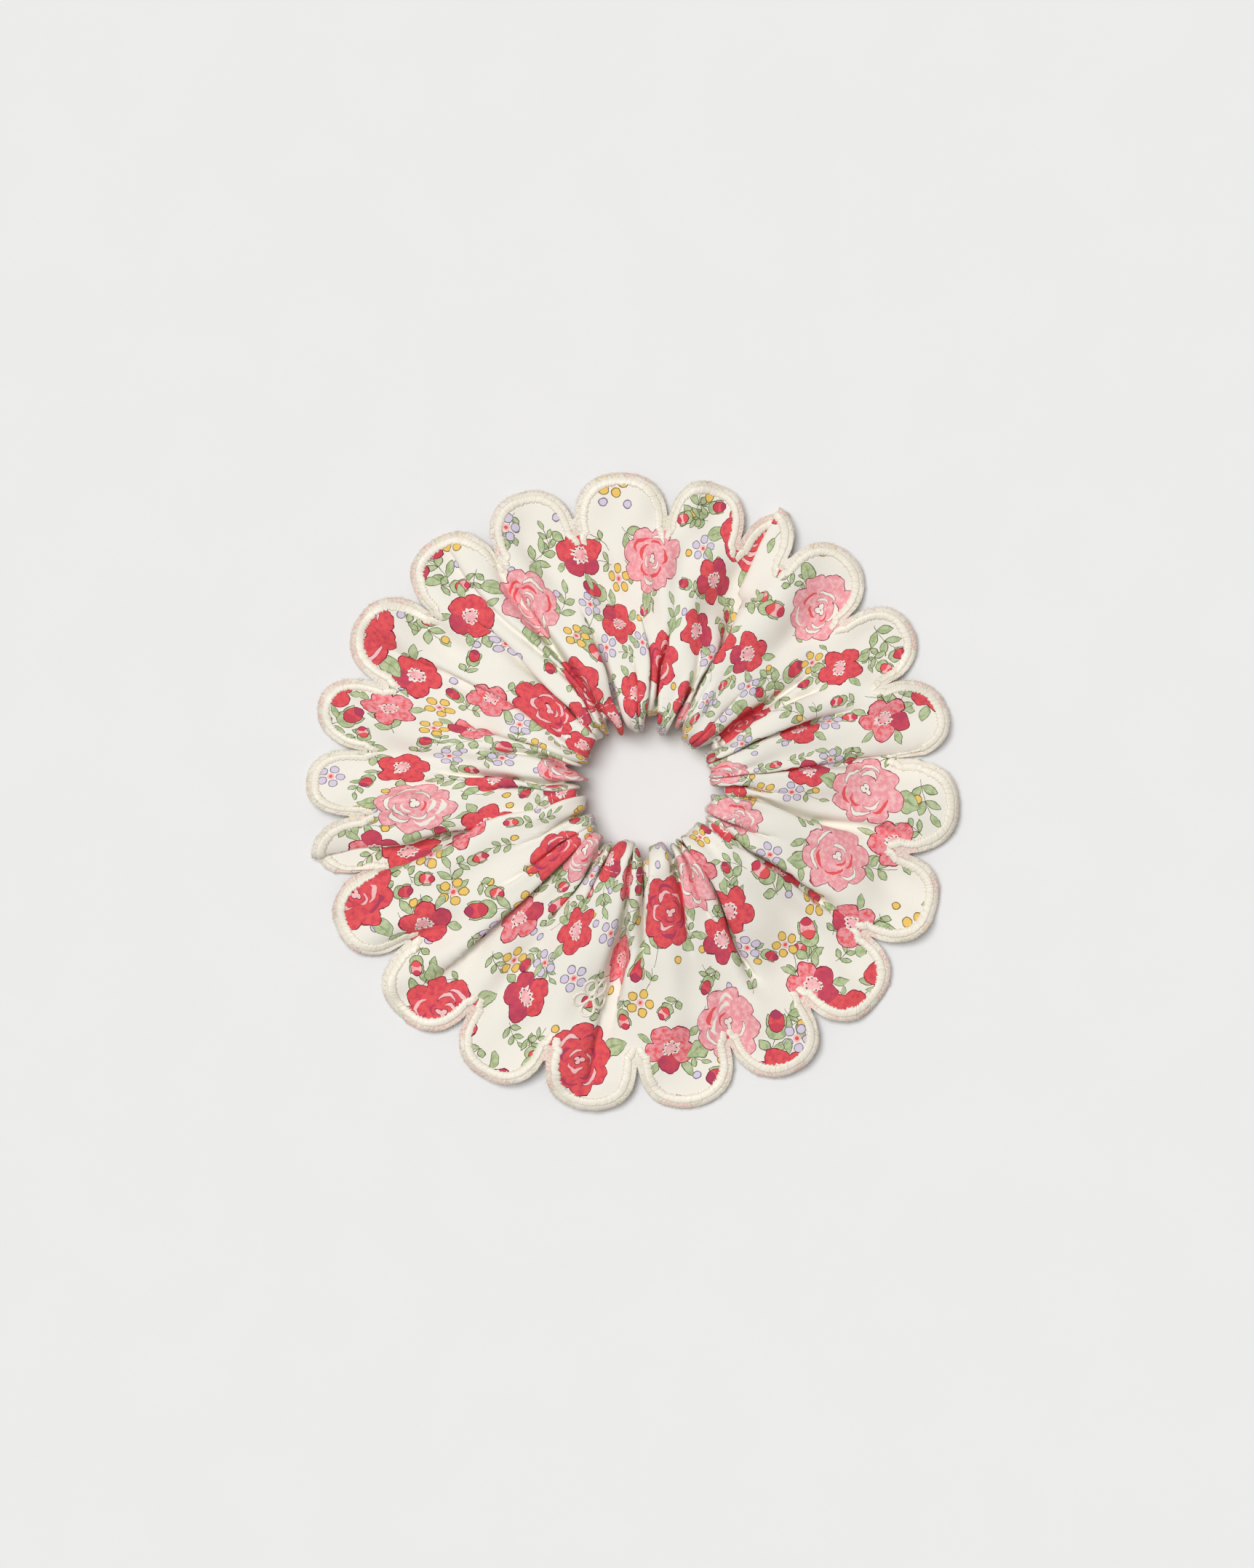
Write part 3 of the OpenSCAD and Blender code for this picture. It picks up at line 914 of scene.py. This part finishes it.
def satin_path():
    """Middle of the satin stitches of one scallop: up one side, over the tip and down the other."""
    t = np.linspace(-1, 1, 4001)
    edge = scallop_outline(t)
    step = unit(np.gradient(edge, axis=0))
    middle = edge + np.column_stack([step[:, 1], -step[:, 0]]) * (RAW_EDGE + SATIN_W / 2)
    inner = LAYER - SLIT
    keep = middle[(np.abs(t) < 0.985) & (middle[:, 1] > inner + 0.5)]
    # Below the slit it leans in to meet the next scallop's
    foot = np.array([[PITCH / 2 - SATIN_W * 0.36, inner - 2.4], [PITCH / 2 - SATIN_W * 0.7, inner - 0.4]])
    path = np.vstack([foot * [-1, 1], keep, foot[::-1]])
    for _ in range(3):
        path = even_steps(path, 400)
        path[1:-1] = (path[:-2] + path[1:-1] * 2 + path[2:]) / 4
    return path


# Cross-section of a line of satin stitches: across it in widths, up in heights, from the outer side inwards
SATIN_ACROSS = np.array([-0.5, -0.45, -0.27, 0.0, 0.27, 0.45, 0.5, 0.0])
SATIN_UP = np.array([0.0, 0.62, 0.95, 1.0, 0.93, 0.58, 0.0, -0.1])
SATIN_SLANT = 0.5  # millimetres along the line from one side of it to the other


def satin_line(parts, path, side, rng, width, height, per_stitch, closed=False, ragged=0.3):
    """Satin stitches along a flat path: each is a low ridge across the line, and no two are alike."""
    stitches = int(round(run(path)[-1] / STITCH))
    rings = stitches * per_stitch + (0 if closed else 1)
    path = even_steps(path, rings + (1 if closed else 0))[:rings]
    step = unit(np.roll(path, -1, 0) - np.roll(path, 1, 0) if closed else np.gradient(path, axis=0))
    inward = np.column_stack([step[:, 1], -step[:, 0]])
    at = np.arange(rings) / per_stitch
    stitch = np.minimum(at.astype(int), stitches - 1)
    groove = 1 - 0.15 * (np.cos(2 * math.pi * at) * 0.5 + 0.5)
    ends = np.ones(rings) if closed else smooth(np.minimum(at, at[-1] - at), -1.5, 4)
    wide = width * (0.55 + 0.45 * ends)
    inner_jump = rng.uniform(-ragged / 2, ragged, stitches)[stitch]
    outer_jump = rng.uniform(-ragged / 4, ragged / 3, stitches)[stitch]
    across = SATIN_ACROSS[None] * wide[:, None]
    across = across + (SATIN_ACROSS > 0.4) * inner_jump[:, None] - (SATIN_ACROSS < -0.4) * outer_jump[:, None]
    up = SATIN_UP[None] * (height * ends * groove * rng.uniform(0.93, 1.07, stitches)[stitch])[:, None]
    # The stitches run a little aslant
    slant = step[:, None] * (across / width * SATIN_SLANT)[..., None]
    flat = path[:, None] + inward[:, None] * across[..., None] + slant
    faces = (loop_faces if closed else tube_faces)(rings, len(SATIN_UP))[:, ::side]
    place = np.broadcast_to(at[:, None] + rng.uniform(0, 900), across.shape)
    points, _ = lay(flat[..., 0], flat[..., 1] * side, up)
    parts.add(points, faces, place, across)


def satin_border(name, side, seed, per_stitch, material):
    rng = np.random.default_rng(seed)
    parts = Parts()
    path = satin_path()
    height = SATIN_H if side > 0 else SATIN_H * 0.6
    for i in range(len(SPREAD)):
        satin_line(parts, path + [(i + 0.5) * PITCH, 0], side, rng, SATIN_W, height, per_stitch)
    return parts.mesh(name, material, on_cloth=False)


def thread(parts, points, up, radius, uv, around=6):
    """A round thread along points in space; up is a direction across it at each point."""
    along = unit(np.gradient(points, axis=0))
    across = unit(np.cross(up, along))
    upward = np.cross(along, across)
    turn = np.arange(around) * 2 * math.pi / around
    radius = np.broadcast_to(np.asarray(radius, float), len(points))[:, None, None]
    ring = across[:, None] * np.cos(turn)[None, :, None] + upward[:, None] * np.sin(turn)[None, :, None]
    s, v = (np.repeat(np.asarray(uv)[:, k:k + 1], around, 1) for k in range(2))
    parts.add(points[:, None] + ring * radius, tube_faces(len(points), around)[:, ::-1], s, v)


def sewn(parts, s, v, height, radius, around=6):
    """A thread that follows the cloth, at a height over its outer face."""
    points, normal = lay(s, v, height)
    thread(parts, points, normal, radius, np.stack([s, v], -1), around)


def fringe(name, material):
    """Fibres that stand out of the cut edges, beyond the satin stitches."""
    rng = np.random.default_rng(31)
    parts = Parts()
    t = np.linspace(0, 1, 3)
    for i in range(len(SPREAD)):
        at = np.sort(rng.uniform(-0.97, 0.97, FIBRES))
        edge = scallop_outline(at)
        step = scallop_outline(at + 0.004) - scallop_outline(at - 0.004)
        out = unit(np.column_stack([-step[:, 1], step[:, 0]]))
        reach = 0.4 + np.minimum(rng.gamma(3.0, 0.08, FIBRES), 0.6)
        for k in range(FIBRES):
            sideways = np.array([-out[k, 1], out[k, 0]])
            root = edge[k] - out[k] * rng.uniform(0.2, RAW_EDGE)
            way = out[k] + sideways * rng.normal(0, 0.6)
            bend = sideways * rng.normal(0, 0.5)
            line = root + (way * t[:, None] + bend * t[:, None] ** 2) * reach[k]
            side = 1 if rng.random() < 0.5 else -1
            lift = rng.uniform(-0.25, 0.3) if side > 0 else -0.1
            thick = rng.uniform(0.03, 0.055) * (1 - 0.5 * t)
            s, v = line[:, 0] + (i + 0.5) * PITCH, line[:, 1] * side
            sewn(parts, s, v, 0.02 + lift * t ** 1.5, thick, around=4)
    return parts.mesh(name, material)


def running_stitches(name, side, material):
    """The line of lockstitch that closes the channel, as seen on one side of the cloth."""
    parts = Parts()
    pitch, length = 2.5, 1.9
    count = int(STRIP / pitch)
    t = np.linspace(0, 1, 7)
    for k in range(count):
        s = k * STRIP / count + t * length
        height = 0.13 * np.sin(math.pi * t) ** 0.5 - 0.13
        sewn(parts, s, np.full(len(t), STITCH_V * side), height, 0.075)
    return parts.mesh(name, material)


def side_seam(material):
    """Overlocked seam between the ends of the strip, on the inner sides of both layers."""
    parts = Parts()
    for side in (1, -1):
        v = np.arange(STITCH_V + 3, LAYER - SLIT - 3, 0.4)
        zigzag = 1.4 * (np.arange(len(v)) % 4 < 2) - 0.7
        sewn(parts, SEAM_AT + zigzag, v * side, np.full(len(v), -CLOTH_T - 0.12), 0.12)
        sewn(parts, np.full(len(v), SEAM_AT), v * side, np.full(len(v), -CLOTH_T - 0.2), 0.12)
    return parts.mesh("side_seam", material)


ELASTIC_R = 18.55  # middle of the elastic's thickness
ELASTIC_T = 1.1
ELASTIC_W = 6.0
ELASTIC_Z = 7.0
LAP = 32.0  # degrees over which its ends overlap
LAP_RISE = 14.0  # degrees over which one end rises onto the other


def round_the_hole(angle, r, z):
    angle, r, z = np.broadcast_arrays(angle, r, z)
    wide, deep = widened(r)
    return np.stack([HOLE_MM[0] + r * wide * np.cos(angle), HOLE_MM[1] + r * deep * np.sin(angle), z], -1)


def elastic(material):
    """Braided elastic, ribbed along its length, whose ends lie over each other."""
    parts = Parts()
    rings, ribs = 400, 8
    degrees = np.linspace(180 - LAP / 2, 540 + LAP / 2, rings)
    lap_at = degrees[-1] - LAP
    r = ELASTIC_R + ELASTIC_T * smooth(degrees, lap_at - LAP_RISE, lap_at)
    up = np.linspace(-0.5, 0.5, ribs * 4 + 1)
    rib = 0.82 + 0.18 * np.abs(np.sin(up * ribs * math.pi))
    swell = ELASTIC_T / 2 * rib * (1 - 0.5 * np.abs(up * 2) ** 12)
    across = np.concatenate([up, up[::-1]])
    out = np.concatenate([swell, -swell[::-1]])
    flat = np.repeat((degrees * 0.33)[:, None], len(out), 1)
    height = ELASTIC_Z + across[None] * ELASTIC_W
    points = round_the_hole(np.radians(degrees)[:, None], r[:, None] + out[None], height)
    parts.add(points, tube_faces(rings, len(out)), flat, np.repeat(across[None] * ELASTIC_W, rings, 0))
    return parts.mesh("elastic", material, on_cloth=False)


def lap_stitches(material):
    """Zigzag bar-tack that joins the ends of the elastic."""
    parts = Parts()
    turns = 11
    t = np.linspace(0, 1, turns * 8 + 1)
    angle = np.radians(180 + LAP * 0.8 * (t - 0.5))
    height = ELASTIC_Z + (ELASTIC_W / 2 - 0.7) * np.clip(np.sin(t * turns * 2 * math.pi) * 1.6, -1, 1)
    points = round_the_hole(angle, ELASTIC_R + ELASTIC_T * 1.5 + 0.08, height)
    outward = round_the_hole(angle, 1.0, 0.0) - np.array([*HOLE_MM, 0])
    thread(parts, points, outward, 0.15, np.stack([t * 10, height], -1))
    return parts.mesh("lap_stitches", material, on_cloth=False)


def flat_place(x, y):
    """Where on the strip's front a point of the plan view lies."""
    front = GRID[:, ROWS:]
    i, j = np.unravel_index(np.argmin(np.hypot(front[..., 0] - x, front[..., 1] - y)), front.shape[:2])
    return np.array([(i + 0.5) * STRIP / COLUMNS, (j + 1) * LAYER / (ROWS - 1)])


def blossom(material):
    """A small outlined flower embroidered in satin stitch: five petals round a ring."""
    rng = np.random.default_rng(41)
    parts = Parts()
    middle = flat_place(*BLOSSOM_AT)
    turn = np.linspace(0, 2 * math.pi, 121)
    for k in range(5):
        way = math.radians(90 + 72 * k)
        egg = np.stack([PETAL_R * 1.3 + PETAL_R * np.cos(turn), 0.92 * PETAL_R * np.sin(turn)], -1)
        egg[:, 1] *= 0.82 + 0.18 * np.cos(turn)
        spin = np.array([[math.cos(way), math.sin(way)], [-math.sin(way), math.cos(way)]])
        satin_line(parts, middle + egg[::-1] @ spin, 1, rng, 0.75, 0.34, 2, closed=True, ragged=0.08)
    ring = 0.75 * np.stack([np.cos(turn), np.sin(turn)], -1)
    satin_line(parts, middle + ring[::-1], 1, rng, 0.6, 0.4, 2, closed=True, ragged=0.05)
    return parts.mesh("embroidered_blossom", material, on_cloth=False)


# ---- camera, straight above

CAMERA_HEIGHT = 1.2  # metres over the floor
SEEN_HEIGHT = 0.385  # metres of the floor, from the picture's top to its bottom
camera = new_object("camera", bpy.data.cameras.new("camera"))
camera.location = (-0.0009, 0.001, CAMERA_HEIGHT)  # centred as in the photo
camera.data.lens = 50
camera.data.sensor_fit = "VERTICAL"
camera.data.sensor_height = SEEN_HEIGHT / CAMERA_HEIGHT * camera.data.lens
scene.camera = camera

# ---- the scrunchie

satin_thread = satin_stitches()
sewing_thread = sewing_cotton()
frayed = frayed_cotton()

cloth = stretches(make_cloth(printed_cotton()), "printed_cotton", "ruffle_left", "ruffle_right")
stretches(satin_border("satin_top", 1, 51, 3, satin_thread), "satin_thread",
          "satin_top_left", "satin_top_right")
stretches(satin_border("satin_under", -1, 52, 2, satin_thread), "satin_thread",
          "satin_under_left", "satin_under_right")
edge_fibres = stretches(fringe("edge_fibres", frayed), "printed_cotton")
stretches(running_stitches("needle_thread", 1, sewing_thread), "sewing_thread",
          "needle_thread_left", "needle_thread_right")
stretches(running_stitches("bobbin_thread", -1, sewing_thread), "sewing_thread",
          "bobbin_thread_left", "bobbin_thread_right")
stretches(elastic(braided_elastic()), "elastic", "elastic_left", "elastic_right")
stretches(lap_stitches(sewing_thread), "sewing_thread", "lap_stitches")
stretches(side_seam(sewing_thread), "sewing_thread", "side_seam")
stretches(blossom(satin_thread), "satin_thread", "embroidered_blossom")

# ---- floor and light

floor_corners = 900 * np.array([[-1, -1, 0], [1, -1, 0], [1, 1, 0], [-1, 1, 0]])
floor_mesh = mesh_object("floor", floor_corners, [[0, 1, 2, 3]], np.zeros((4, 2)), plain_floor())

# Even light from a wide window or softbox: from far above, and a little from the picture's upper left
sun = bpy.data.lights.new("key", "SUN")
sun.energy = 2.15
sun.angle = math.radians(30)
sun.color = (0.995, 1.0, 1.005)
towards = Vector((-0.25, 0.22, 1.0))
key = new_object("key", sun)
key.location = towards
key.rotation_euler = towards.to_track_quat("Z", "Y").to_euler()

world = bpy.data.worlds.new("world")
scene.world = world
world.use_nodes = True
background = world.node_tree.nodes["Background"]
background.inputs["Color"].default_value = (1.0, 0.98, 0.95, 1)
background.inputs["Strength"].default_value = 0.33
scene.view_settings.view_transform = "Standard"
